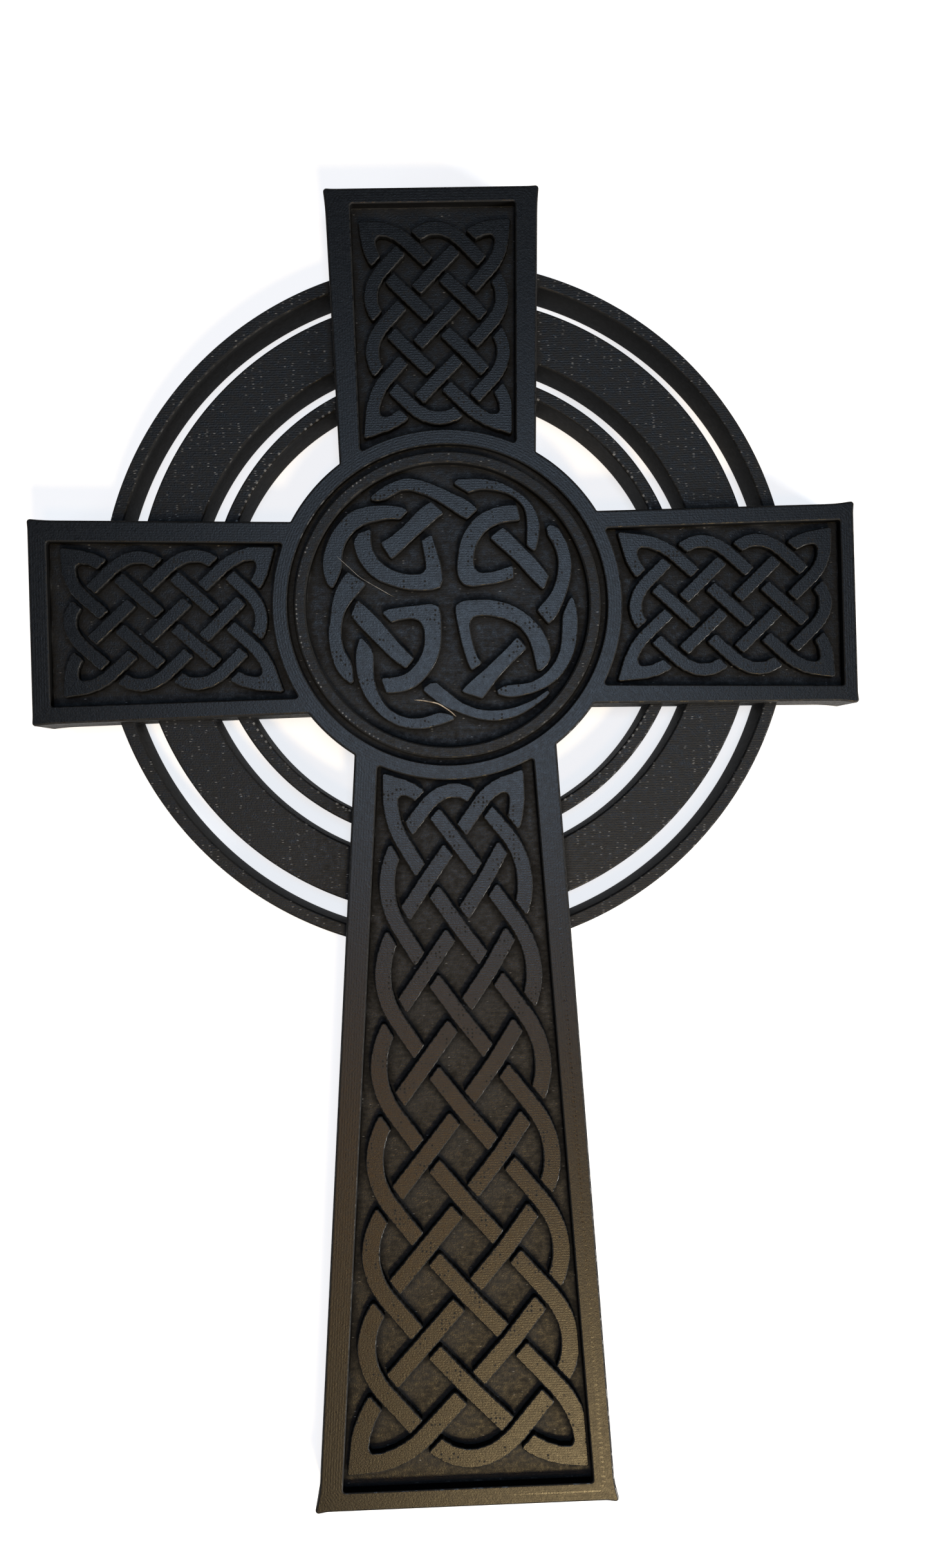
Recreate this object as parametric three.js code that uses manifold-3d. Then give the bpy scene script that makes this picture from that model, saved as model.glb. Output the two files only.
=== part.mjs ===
// Celtic cross plaque printed in black plastic, one piece, lying on its back.
// +Y runs to the head of the cross, +Z to the carved front, and the back is the plane z = 0.
import * as THREE from 'three';
import { mergeVertices } from 'three/addons/utils/BufferGeometryUtils.js';
import Module from 'manifold-3d';

const wasm = await Module();
wasm.setup();

// Heights above the back, in millimetres.
const frontHeight = 10.2;
const strandHeight = 9.7;
const groundHeight = 8.2;
const ringHeight = 8.1;
const strandFoot = 7.6;
const edgeBevel = 0.5;

// Medallion: a disc with a cut groove, a raised rim inside it and a sunk well that holds the knot.
const discRadius = 30.8;
const panelArcRadius = 30.5;
const grooveOuterRadius = 27.9;
const grooveInnerRadius = 26.7;
const grooveFloor = 9.0;
const wellRadius = 24.7;
const circleSteps = 72;

// The pierced ring: outer rim, broad band and inner rim, with open slots between them.
const ringBands = [
  { outer: 60.7, inner: 58.4 },
  { outer: 54.5, inner: 45.4 },
  { outer: 41.7, inner: 39.4 },
];

// Each arm is drawn pointing up from the medallion centre and then turned by "turn" degrees.
// root and tip give the left and right edges of the arm, rootAt and length where they lie;
// well gives the same for the sunk panel, and plait the strand lattice inside it.
const rootAt = 20;
const arms = [
  {
    turn: 0, length: 72.6, root: [-18.0, 15.9], tip: [-19.5, 17.65],
    well: { root: [-14.5, 12.6], tip: [-15.1, 13.7], end: 69.9 },
    plait: { rows: 4, rootAt: 29.9, tipAt: 68.1, rootHalf: 14.55, tipHalf: 14.55, centre: -0.5,
      pinch: 0.08, settle: 1.0, rising: false, rootWidth: 2.5, tipWidth: 2.5 },
  },
  {
    turn: -90, length: 71.6, root: [-15.7, 17.8], tip: [-16.1, 18.6],
    well: { root: [-12.7, 14.6], tip: [-13.2, 15.8], end: 69.2 },
    plait: { rows: 4, rootAt: 30.4, tipAt: 68.8, rootHalf: 13.5, tipHalf: 13.5, centre: 1.1,
      pinch: 0, settle: 1.0, rising: false, rootWidth: 2.4, tipWidth: 2.4 },
  },
  {
    turn: 90, length: 72.2, root: [-18.3, 14.8], tip: [-19.1, 16.3],
    well: { root: [-15.6, 11.3], tip: [-16.0, 12.5], end: 69.0 },
    plait: { rows: 4, rootAt: 29.4, tipAt: 67.9, rootHalf: 13.3, tipHalf: 13.3, centre: -1.5,
      pinch: 0, settle: 1.0, rising: true, rootWidth: 2.4, tipWidth: 2.4 },
  },
  {
    turn: 180, length: 157.0, root: [-18.05, 16.5], tip: [-25.05, 26.8],
    well: { root: [-14.2, 13.0], tip: [-21.2, 22.5], end: 153.7 },
    plait: { rows: 8, rootAt: 22.5, tipAt: 153.0, rootHalf: 13.25, tipHalf: 25.2, centre: -0.1,
      pinch: 0.1, settle: 1.5, rising: true, rootWidth: 2.7, tipWidth: 3.5 },
  },
];

// Plait: three cells across, bars pass over one crossing and stop short of the next.
const cellsAcross = 3;
const strandGap = 0.45;
const turnSteps = 6;
const cornerInset = [0.36, 0.46];
const cornerLead = 0.6;

// Medallion knot: one quadrant of four bars, repeated by quarter turns about its own centre.
const knotShift = 0.6;
const knotRise = { middle: 2.6, edge: 0.7, radius: 20 };
const knotWidth = 2.9;
const knotSteps = 12;
const knotLoop = [
  [[-3.9, 11.3], [-3.2, 8.3], [-2.6, 2.8]],
  [[-2.6, 2.8], [-6.1, 2.7], [-9.5, 3.6], [-12.4, 5.5], [-14.3, 8.4], [-14.9, 11.6]],
];
const knotBars = [
  [[-11.5, 8.0], [-2.1, 16.8]],
  [[-20.0, 1.5], [-20.4, 5.1], [-19.8, 8.6], [-18.1, 11.7], [-15.5, 14.1], [-12.2, 15.2], [-7.6, 14.8]],
  [[3.8, 15.2], [1.4, 17.3], [-1.4, 18.9], [-4.5, 19.8], [-7.7, 19.8], [-10.8, 19.1], [-13.4, 17.6]],
];
// How much further the loop's leg, the outer arc and the cap run at their first or last end, by quarter.
const knotReach = [
  { leg: 0, outer: 0, cap: 0 },
  { leg: 0, outer: 1.5, cap: 0 },
  { leg: 1.9, outer: 0, cap: 2.0 },
  { leg: 0, outer: 0, cap: 0 },
];

const mix = (a, b, f) => a + (b - a) * f;
const vec = (x, y) => new THREE.Vector2(x, y);

function toSolid(geometry) {
  const bare = geometry.index ? geometry.toNonIndexed() : geometry;
  const points = new THREE.BufferGeometry();
  points.setAttribute('position', bare.getAttribute('position'));
  const merged = mergeVertices(points, 1e-4);
  const mesh = new wasm.Mesh({
    numProp: 3,
    vertProperties: new Float32Array(merged.getAttribute('position').array),
    triVerts: new Uint32Array(merged.index.array),
  });
  return new wasm.Manifold(mesh);
}

function prism(shape, from, to) {
  const geometry = new THREE.ExtrudeGeometry(shape, {
    depth: to - from, bevelEnabled: false, curveSegments: circleSteps,
  });
  geometry.translate(0, 0, from);
  return toSolid(geometry);
}

// A prism from the back to the front whose upper edge is chamfered inside its outline.
function chamferedPrism(shape) {
  const middle = frontHeight / 2;
  const geometry = new THREE.ExtrudeGeometry(shape, {
    depth: frontHeight - middle - edgeBevel * 2, bevelEnabled: true, bevelSegments: 1,
    bevelSize: edgeBevel, bevelThickness: edgeBevel, bevelOffset: -edgeBevel,
    curveSegments: circleSteps,
  });
  geometry.translate(0, 0, middle + edgeBevel);
  return prism(shape, 0, middle + edgeBevel * 2).add(toSolid(geometry));
}

function circle(radius) {
  const points = [];
  for (let k = 0; k < circleSteps; k += 1) {
    const angle = (k / circleSteps) * Math.PI * 2;
    points.push(vec(radius * Math.cos(angle), radius * Math.sin(angle)));
  }
  return points;
}

function annulus(outer, inner) {
  const shape = new THREE.Shape(circle(outer));
  shape.holes.push(new THREE.Path(circle(inner)));
  return shape;
}

function turned(points, degrees) {
  const angle = THREE.MathUtils.degToRad(degrees);
  return points.map((p) => p.clone().rotateAround(vec(0, 0), angle));
}

function armOutline(arm) {
  return [
    vec(arm.root[0], rootAt), vec(arm.root[1], rootAt),
    vec(arm.tip[1], arm.length), vec(arm.tip[0], arm.length),
  ];
}

// The sunk panel: straight sides and end, and an arc concentric with the medallion at the root.
function wellOutline(arm) {
  const { root, tip, end } = arm.well;
  const foot = root.map((x) => Math.sqrt(panelArcRadius ** 2 - x ** 2));
  const points = [vec(tip[1], end), vec(tip[0], end)];
  const arcSteps = 12;
  for (let k = 0; k <= arcSteps; k += 1) {
    const from = Math.atan2(foot[0], root[0]);
    const to = Math.atan2(foot[1], root[1]);
    const angle = mix(from, to, k / arcSteps);
    points.push(vec(panelArcRadius * Math.cos(angle), panelArcRadius * Math.sin(angle)));
  }
  return points;
}

// Lattice (a across, b from the tip to the root) to millimetres on the upright arm.
function latticePoint(plait, a, b) {
  const last = plait.rows * 2;
  const along = b / last;
  const straight = mix(plait.tipAt, plait.rootAt, along);
  const half = mix(plait.tipHalf, plait.rootHalf, along);
  const u = (a - cellsAcross) / cellsAcross;
  const x = plait.centre + half * u * (1 - plait.pinch * u * u);
  const arc = Math.sqrt(Math.max(panelArcRadius ** 2 - x * x, 0));
  return vec(x, straight + (arc - plait.rootAt) * Math.exp((b - last) / plait.settle));
}

const strandWidth = (plait, b) => mix(plait.tipWidth, plait.rootWidth, b / (plait.rows * 2));

// Quadratic curve through the lattice from p to q with control point c.
function bend(p, c, q) {
  const points = [];
  for (let k = 0; k <= turnSteps; k += 1) {
    const t = k / turnSteps;
    const w = [(1 - t) ** 2, 2 * t * (1 - t), t * t];
    points.push([0, 1].map((n) => w[0] * p[n] + w[1] * c[n] + w[2] * q[n]));
  }
  return points;
}

// Half of a bar: from its over-crossing to the crossing where it passes under, turning back at the border.
function halfBar(start, step, size) {
  const points = [start];
  const direction = [...step];
  let here = start;
  do {
    here = here.map((v, n) => v + direction[n]);
    points.push(here);
    size.forEach((limit, n) => {
      if (here[n] <= 0 || here[n] >= limit) direction[n] = -direction[n];
    });
  } while (here.some((v, n) => v <= 0 || v >= size[n]));
  const end = points[points.length - 1];
  if (points.length === 2) return { path: points, end, cross: [direction[0], -direction[1]] };
  if (points.length === 3) return { path: bend(start, points[1], end), end, cross: [direction[0], -direction[1]] };
  const corner = size.map((limit, n) => {
    const low = points[1][n] + points[2][n] < limit;
    return low ? cornerInset[n] : limit - cornerInset[n];
  });
  const lead = (from, to) => from.map((v, n) => mix(v, to[n], cornerLead));
  const rise = bend(start, lead(start, points[1]), corner);
  const fall = bend(corner, lead(end, points[2]), end);
  rise.splice(turnSteps - 1, 1);
  return { path: [...rise, ...fall.slice(2)], end, cross: [direction[0], -direction[1]] };
}

// Ribbon of the given width about a polyline, with mitred joints.
function ribbon(points, widths) {
  const left = [];
  const right = [];
  points.forEach((p, k) => {
    const before = points[Math.max(k - 1, 0)];
    const after = points[Math.min(k + 1, points.length - 1)];
    const incoming = (k > 0 ? p.clone().sub(before) : after.clone().sub(p)).normalize();
    const outgoing = (k < points.length - 1 ? after.clone().sub(p) : incoming.clone()).normalize();
    const across = incoming.clone().add(outgoing).normalize();
    const reach = widths[k] / 2 / Math.max(across.dot(outgoing), 0.42);
    left.push(vec(p.x - across.y * reach, p.y + across.x * reach));
    right.push(vec(p.x + across.y * reach, p.y - across.x * reach));
  });
  return [left, right];
}

// Shortens one side of a ribbon from its first point to a line at the given distance from a crossing.
function shortened(side, crossing, normal, distance) {
  const depth = (p) => (p.x - crossing.x) * normal.x + (p.y - crossing.y) * normal.y - distance;
  const first = side.findIndex((p) => depth(p) > 0);
  if (first <= 0) return side;
  const [p, q] = [side[first - 1], side[first]];
  return [p.clone().lerp(q, depth(p) / (depth(p) - depth(q))), ...side.slice(first)];
}

// All bars of one plait as outlines: at every crossing one strand is over, the two slants in turn.
function plaitBars(plait) {
  const size = [cellsAcross * 2, plait.rows * 2];
  const bars = [];
  for (let b = 1; b < size[1]; b += 1) {
    for (let a = 1 + (b % 2); a < size[0]; a += 2) {
      const rising = (b % 2 === 1) === plait.rising;
      const step = [1, rising ? -1 : 1];
      const ahead = halfBar([a, b], step, size);
      const behind = halfBar([a, b], step.map((v) => -v), size);
      const lattice = [...behind.path.slice(1).reverse(), ...ahead.path];
      const points = lattice.map(([p, q]) => latticePoint(plait, p, q));
      let sides = ribbon(points, lattice.map(([, q]) => strandWidth(plait, q)));
      [behind, ahead].forEach(({ end, cross, path }) => {
        const at = latticePoint(plait, ...end);
        const over = latticePoint(plait, end[0] + cross[0] * 0.3, end[1] + cross[1] * 0.3).sub(at).normalize();
        const normal = vec(-over.y, over.x);
        if (normal.dot(latticePoint(plait, ...path[path.length - 2]).sub(at)) < 0) normal.negate();
        const stop = strandWidth(plait, end[1]) / 2 + strandGap;
        sides = sides.map((side) => shortened(side, at, normal, stop).reverse());
      });
      bars.push([...sides[0], ...sides[1].reverse()]);
    }
  }
  return bars;
}

function smoothPath(points, steps) {
  if (points.length === 2) return points.map((p) => vec(...p));
  return new THREE.SplineCurve(points.map((p) => vec(...p))).getSpacedPoints(steps);
}

// A point beyond the first of a path, in line with its first two points.
function beyond(points, distance) {
  return points[0].clone().add(points[0].clone().sub(points[1]).setLength(distance));
}

function knotOutlines() {
  const [legA, legB] = knotLoop.map((leg, n) => smoothPath(leg, n === 0 ? 4 : 10));
  const [chord, outer, cap] = knotBars.map((bar) => smoothPath(bar, knotSteps));
  const loop = [...legA, ...legB.slice(1)];
  const outlines = [];
  for (let quarter = 0; quarter < 4; quarter += 1) {
    const reach = knotReach[quarter];
    const paths = [
      reach.leg ? [beyond(loop, reach.leg), ...loop] : loop,
      chord,
      reach.outer ? [beyond(outer, reach.outer), ...outer] : outer,
      reach.cap ? [...cap, beyond([...cap].reverse(), reach.cap)] : cap,
    ];
    paths.forEach((path) => {
      const placed = turned(path, quarter * 90).map((p) => {
        const outward = Math.min(p.length() / knotRise.radius, 1);
        return vec(p.x + knotShift, p.y + mix(knotRise.middle, knotRise.edge, outward));
      });
      const [left, right] = ribbon(placed, placed.map(() => knotWidth));
      outlines.push([...left, ...right.reverse()]);
    });
  }
  return outlines;
}

const solids = [chamferedPrism(new THREE.Shape(circle(discRadius)))];
const cuts = [
  prism(annulus(grooveOuterRadius, grooveInnerRadius), grooveFloor, frontHeight + 1),
  prism(new THREE.Shape(circle(wellRadius)), groundHeight, frontHeight + 1),
];
const strands = knotOutlines();
arms.forEach((arm) => {
  solids.push(chamferedPrism(new THREE.Shape(turned(armOutline(arm), arm.turn))));
  cuts.push(prism(new THREE.Shape(turned(wellOutline(arm), arm.turn)), groundHeight, frontHeight + 1));
  plaitBars(arm.plait).forEach((outline) => strands.push(turned(outline, arm.turn)));
});

const frame = wasm.Manifold.union(solids).subtract(wasm.Manifold.union(cuts));
const ring = ringBands.map(({ outer, inner }) => prism(annulus(outer, inner), 0, ringHeight));
const knots = strands.map((outline) => prism(new THREE.Shape(outline), strandFoot, strandHeight));
const cross = wasm.Manifold.union([frame, ...ring, ...knots]);

const output = cross.getMesh();
const geometry = new THREE.BufferGeometry();
geometry.setAttribute('position', new THREE.BufferAttribute(Float32Array.from(output.vertProperties), 3));
geometry.setIndex(new THREE.BufferAttribute(Uint32Array.from(output.triVerts), 1));
geometry.computeBoundingBox();
const centre = geometry.boundingBox.getCenter(new THREE.Vector3());
geometry.translate(-centre.x, -centre.y, 0);
geometry.computeVertexNormals();

const blackPlastic = new THREE.MeshStandardMaterial({ name: 'black_plastic', color: 0x26272a, roughness: 0.55 });
const mesh = new THREE.Mesh(geometry, blackPlastic);
mesh.name = 'celtic_cross';

const group = new THREE.Group();
group.name = 'celtic_cross_plaque';
group.add(mesh);

export default group;
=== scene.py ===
import math

import bpy
import numpy as np
from mathutils import Matrix, Quaternion, Vector
from mathutils.geometry import delaunay_2d_cdt


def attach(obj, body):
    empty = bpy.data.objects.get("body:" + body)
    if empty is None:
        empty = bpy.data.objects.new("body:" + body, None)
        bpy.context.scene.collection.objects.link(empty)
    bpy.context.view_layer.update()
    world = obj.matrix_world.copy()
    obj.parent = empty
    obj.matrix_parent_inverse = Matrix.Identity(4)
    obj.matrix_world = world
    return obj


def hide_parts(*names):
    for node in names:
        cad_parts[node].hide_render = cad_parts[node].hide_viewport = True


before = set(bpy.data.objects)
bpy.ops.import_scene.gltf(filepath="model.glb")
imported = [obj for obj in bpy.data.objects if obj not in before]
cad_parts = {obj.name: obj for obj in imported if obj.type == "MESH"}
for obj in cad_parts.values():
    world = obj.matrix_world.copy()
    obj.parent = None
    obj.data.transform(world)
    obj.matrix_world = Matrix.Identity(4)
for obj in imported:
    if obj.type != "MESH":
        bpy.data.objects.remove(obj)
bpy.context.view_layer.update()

# All drawing is in millimetres about the medallion's middle; +Y runs to the head, +Z out of the front.
mm = 0.001
middle = np.array([0.3, 42.2, 0.0])  # the medallion's middle in the frame of the solids

heights = {"front": 10.2, "strand": 9.7, "ground": 8.2, "ring": 8.1}

medallion = {
    "disc": 30.8, "panelArc": 30.5, "grooveOuter": 27.9, "grooveInner": 26.7, "grooveFloor": 9.0,
    "grooveEdge": 0.15, "grooveLean": 0.05, "grooveFoot": 0.25, "rimEdge": 0.3, "rimBevel": (0.1, 0.09),
    "well": 24.7, "steps": 216,
}

# every arm is drawn pointing up and then turned, counter-clockwise
arms = [
    {"turn": 0, "length": 72.6, "flare": 0.25, "root": (-18.0, 15.9), "tip": (-19.5, 17.65),
     "wellRoot": (-14.5, 12.6), "wellTip": (-15.1, 13.7), "wellEnd": 69.9,
     "rows": 4, "rootAt": 29.9, "tipAt": 68.1, "rootHalf": 14.55, "tipHalf": 14.55, "centre": -0.5,
     "pinch": 0.08, "settle": 1.0, "rising": False, "rootWidth": 2.5, "tipWidth": 2.5},
    {"turn": 90, "length": 72.2, "flare": 0.25, "root": (-18.3, 14.8), "tip": (-19.1, 16.3),
     "wellRoot": (-15.6, 11.3), "wellTip": (-16.0, 12.5), "wellEnd": 69.0,
     "rows": 4, "rootAt": 29.4, "tipAt": 67.9, "rootHalf": 13.3, "tipHalf": 13.3, "centre": -1.5,
     "pinch": 0.0, "settle": 1.0, "rising": True, "rootWidth": 2.4, "tipWidth": 2.4},
    {"turn": 180, "length": 157.0, "flare": 0.7, "root": (-18.05, 16.5), "tip": (-25.05, 26.8),
     "wellRoot": (-14.2, 13.0), "wellTip": (-21.2, 22.5), "wellEnd": 153.7,
     "rows": 8, "rootAt": 22.5, "tipAt": 153.0, "rootHalf": 13.25, "tipHalf": 25.2, "centre": -0.1,
     "pinch": 0.1, "settle": 1.5, "rising": True, "rootWidth": 2.7, "tipWidth": 3.5},
    {"turn": 270, "length": 71.6, "flare": 0.4, "root": (-15.7, 17.8), "tip": (-16.1, 18.6),
     "wellRoot": (-12.7, 14.6), "wellTip": (-13.2, 15.8), "wellEnd": 69.2,
     "rows": 4, "rootAt": 30.4, "tipAt": 68.8, "rootHalf": 13.5, "tipHalf": 13.5, "centre": 1.1,
     "pinch": 0.0, "settle": 1.0, "rising": False, "rootWidth": 2.4, "tipWidth": 2.4},
]


def mix(a, b, f):
    # a moved towards b by the share f
    return a + (b - a) * f


def turned(points, degrees):
    # every point turned about the medallion's middle
    a = math.radians(degrees)
    return np.asarray(points, float) @ np.array([[math.cos(a), math.sin(a)], [-math.sin(a), math.cos(a)]])


def unit(v):
    # each vector over its own length
    return v / np.maximum(np.linalg.norm(v, axis=-1, keepdims=True), 1e-9)


def onCircle(radius, angles):
    # radius times the cosine and the sine of each angle
    return np.stack([radius * np.cos(angles), radius * np.sin(angles)], -1)


def circleHit(a, b, radius):
    # point of the line from a to b that lies on the circle, on the side of b
    a, d = np.asarray(a, float), np.subtract(b, a)
    half, rest, lead = a @ d, a @ a - radius ** 2, d @ d
    return a + d * (-half + math.sqrt(half ** 2 - lead * rest)) / lead


def angleOf(p):
    # angle of each point about the medallion's middle
    return np.arctan2(p[..., 1], p[..., 0])


# turns past sharp, in radians, become arcs; side points within clear times the radius of one are left out
corners = {"sharp": 0.55, "clear": 2.2, "mostTurn": 2.4, "points": 6, "mitre": 0.35}


def softened(loop, radius, hollow):
    # counter-clockwise loop with each sharp corner replaced by an arc that touches both its sides, of one
    # radius outside and another in hollows; points of the sides too near to a corner are left out first
    def turns(path):
        before, after = unit(np.roll(path, 1, 0) - path), unit(np.roll(path, -1, 0) - path)
        bulge = before[:, 1] * after[:, 0] - before[:, 0] * after[:, 1] > 0
        turn = np.pi - np.arccos(np.clip((before * after).sum(1), -1, 1))
        return before, after, turn, np.where(bulge, radius, hollow)

    before, after, turn, size = turns(loop)
    isCorner = turn > corners["sharp"]
    gap = np.linalg.norm(loop[:, None] - loop[isCorner], axis=2) - corners["clear"] * size[isCorner]
    loop = loop[isCorner | (gap > 0).all(1)]
    before, after, turn, size = turns(loop)
    half = np.minimum(turn, corners["mostTurn"])[:, None, None] / 2
    reach = size[:, None] * np.tan(half[:, 0])
    centre = loop[:, None] + unit(before + after)[:, None] * size[:, None, None] / np.cos(half)
    start = (loop + before * reach)[:, None] - centre
    end = (loop + after * reach)[:, None] - centre
    t = np.linspace(0, 1, corners["points"])[None, :, None]
    swing = start * np.sin((1 - t) * 2 * half) + end * np.sin(t * 2 * half)
    arcs = centre + swing / np.sin(np.maximum(2 * half, 0.01))
    return np.concatenate([arc if bend > corners["sharp"] else corner[None]
                           for arc, bend, corner in zip(arcs, turn, loop)])


def refined(loop, spacing):
    # closed loop with long sides cut into equal steps no longer than the spacing
    step = np.linalg.norm(np.roll(loop, -1, 0) - loop, axis=1)
    cuts = np.maximum(np.ceil(step / spacing).astype(int), 1)
    side = np.repeat(np.arange(len(loop)), cuts)
    part = (np.arange(cuts.sum()) - np.repeat(np.cumsum(cuts) - cuts, cuts)) / np.repeat(cuts, cuts)
    return mix(loop[side], np.roll(loop, -1, 0)[side], part[:, None])


def inward(loop):
    # mitred normals of a counter-clockwise closed loop, pointing to its inside
    ahead = unit(np.roll(loop, -1, 0) - loop)
    behind = np.roll(ahead, 1, 0)
    n1, n2 = (np.stack([-v[:, 1], v[:, 0]], 1) for v in (behind, ahead))
    return (n1 + n2) / np.maximum(1 + (n1 * n2).sum(1), corners["mitre"])[:, None]


def raised(flat, height):
    # grid of flat points with one height for every column
    return np.concatenate([flat, np.broadcast_to(height[None, :, None], flat.shape[:2] + (1,))], 2)


def carried(loop, profile, normals=None):
    # profile of (inset, height) pairs carried round a closed loop: grid of loop by profile points
    inset, height = np.asarray(profile, float).T
    n = inward(loop) if normals is None else normals
    return raised(loop[:, None] + n[:, None] * inset[None, :, None], height)


def roundedEdge(radius, height, steps=4):
    # quarter circle of (inset, height) pairs from a wall up to a flat top
    a = np.linspace(0, math.pi / 2, steps + 1)
    return np.stack([radius * (1 - np.cos(a)), height - radius * (1 - np.sin(a))], 1)


def enclosed(points, starts, ends):
    # whether a ray from each point to the right crosses the sides of the loops an odd number of times
    x, y = (points[:, n, None] for n in (0, 1))
    spans = (starts[:, 1] > y) != (ends[:, 1] > y)
    rise = np.where(ends[:, 1] == starts[:, 1], 1.0, ends[:, 1] - starts[:, 1])
    hit = starts[:, 0] + (ends[:, 0] - starts[:, 0]) * (y - starts[:, 1]) / rise
    return (spans & (x < hit)).sum(1) % 2 == 1


shading = {"sharpAngle": 40, "tallWall": 0.35}  # degrees between faces, and the height from which a wall is flat


class Shell:
    # gathers grids and flat fills, and puts them into one mesh
    def __init__(self):
        self.points, self.quads, self.flats, self.count = [], [], [], 0

    def add(self, grid):
        # keeps the points of a grid and gives their numbers
        ids = np.arange(self.count, self.count + grid[..., 0].size).reshape(grid.shape[:-1])
        self.points.append(grid.reshape(-1, 3))
        self.count += ids.size
        return ids

    def strip(self, ids, closed=True, across=False):
        # quads between neighbouring points of a grid, closed along and across if asked
        rows = np.concatenate([ids, ids[:1]]) if closed else ids
        grid = np.concatenate([rows, rows[:, :1]], 1) if across else rows
        quads = np.stack([grid[:-1, :-1], grid[1:, :-1], grid[1:, 1:], grid[:-1, 1:]], -1)
        self.quads.append(quads.reshape(-1, 4))

    def cap(self, end):
        # fan of triangles from the first point of a closed end
        self.flats.append(np.stack([end[0] + 0 * end[1:-1], end[1:-1], end[2:]], 1))

    def fill(self, loops, down=False):
        # flat triangles inside the first loop and outside the others
        ids = np.concatenate(loops)
        flat = np.concatenate(self.points)[ids, :2]
        flat = flat.astype(np.float32).astype(float)  # as the triangulation rounds them
        sizes = [len(loop) for loop in loops]
        ahead = np.concatenate([np.roll(np.arange(size), -1) for size in sizes])
        ahead = ahead + np.repeat(np.cumsum(sizes) - sizes, sizes)
        sides = np.stack([np.arange(len(ids)), ahead], 1).tolist()
        made = delaunay_2d_cdt([Vector(p) for p in flat], sides, [], 0, 1e-5, True)
        tris = np.array([own[0] for own in made[3]])[np.array(made[2])]
        a, b, c = (flat[tris[:, n]] for n in range(3))
        area = (b - a)[:, 0] * (c - a)[:, 1] - (b - a)[:, 1] * (c - a)[:, 0]
        keep = enclosed((a + b + c) / 3, flat, flat[ahead]) & (np.abs(area) > 1e-9)
        tris, wrong = tris[keep], (area[keep] < 0) != down
        tris[wrong] = tris[wrong][:, ::-1]
        self.flats.append(ids[tris])

    def mesh(self, name, rail=None):
        # one mesh in metres; rail gives a number for every point
        points = np.concatenate(self.points)
        quads = np.concatenate(self.quads)
        flats = np.concatenate(self.flats)
        mesh = bpy.data.meshes.new(name)
        mesh.vertices.add(len(points))
        mesh.vertices.foreach_set("co", ((points + middle) * mm).astype(np.float32).ravel())
        mesh.loops.add(quads.size + flats.size)
        mesh.loops.foreach_set("vertex_index", np.concatenate([quads.ravel(), flats.ravel()]).astype(np.int32))
        sizes = np.concatenate([np.full(len(quads), 4), np.full(len(flats), 3)])
        mesh.polygons.add(len(sizes))
        mesh.polygons.foreach_set("loop_start", (np.cumsum(sizes) - sizes).astype(np.int32))
        mesh.update(calc_edges=True)
        mesh.set_sharp_from_angle(angle=math.radians(shading["sharpAngle"]))
        rise = np.ptp(points[quads, 2], axis=1)
        curved = (rise > 1e-6) & (rise < shading["tallWall"])  # level faces and tall walls stay flat
        mesh.polygons.foreach_set("use_smooth", np.concatenate([curved, np.zeros(len(flats), bool)]))
        if rail:
            layer = mesh.attributes.new("rail", "FLOAT", "POINT")
            layer.data.foreach_set("value", rail(points).astype(np.float32))
        mesh.validate()
        return mesh


def toObject(mesh, material):
    # the mesh as an object at the origin
    made = bpy.data.objects.new(mesh.name, mesh)
    bpy.context.scene.collection.objects.link(made)
    mesh.materials.append(material)
    return made


body = {
    "corner": 0.55, "hollow": 0.3, "edge": 0.35, "foot": 0.15, "spacing": 1.2, "rootHeight": 20.0, "discPoints": 18,
    "wellCorner": 0.45, "wellEdge": 0.22, "wellArcPoints": 25, "fillet": 0.2, "bevel": 0.3,
    "flareLength": 5.0, "flareEnd": 2.0, "flareEndShare": 0.5, "flarePoints": 6,
}


def armEdges(arm):
    # foot and tip of the right and the left edge, on the upright arm
    return [(np.array([arm["root"][n], body["rootHeight"]]), np.array([arm["tip"][n], arm["length"]]))
            for n in (1, 0)]


def flaredCorner(side, tip, end, flare):
    # a corner pushed out sideways and half as far endways; the long side swings out to it by the square
    # of the distance, and the end by the square over a shorter stretch
    toSide, toEnd = unit(side - tip), unit(end - tip)
    endFlare = flare * body["flareEndShare"]
    t = np.linspace(1, 0, body["flarePoints"])[:-1, None]
    long = tip + toSide * body["flareLength"] * t - toEnd * flare * (1 - t) ** 2
    short = tip + toEnd * body["flareEnd"] * t - toSide * endFlare * (1 - t) ** 2
    return np.concatenate([long, [tip - toEnd * flare - toSide * endFlare], short[::-1]])


def bodyOutline():
    # the four arms and the disc between them, counter-clockwise
    parts = []
    for arm, following in zip(arms, arms[1:] + arms[:1]):
        (rightFoot, rightTip), (leftFoot, leftTip) = armEdges(arm)
        hits = [circleHit(rightFoot, rightTip, medallion["disc"]), circleHit(leftFoot, leftTip, medallion["disc"])]
        tips = [flaredCorner(rightFoot, rightTip, leftTip, arm["flare"]),
                flaredCorner(leftFoot, leftTip, rightTip, arm["flare"])[::-1]]
        parts.append(turned(np.concatenate([hits[:1], *tips, hits[1:]]), arm["turn"]))
        nextHit = turned([circleHit(*armEdges(following)[0], medallion["disc"])], following["turn"])[0]
        a, b = angleOf(parts[-1][-1]), angleOf(nextHit)
        b += 2 * math.pi * (b < a)
        parts.append(onCircle(medallion["disc"], np.linspace(a, b, body["discPoints"])[1:-1]))
    return refined(softened(np.concatenate(parts), body["corner"], body["hollow"]), body["spacing"])


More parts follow.
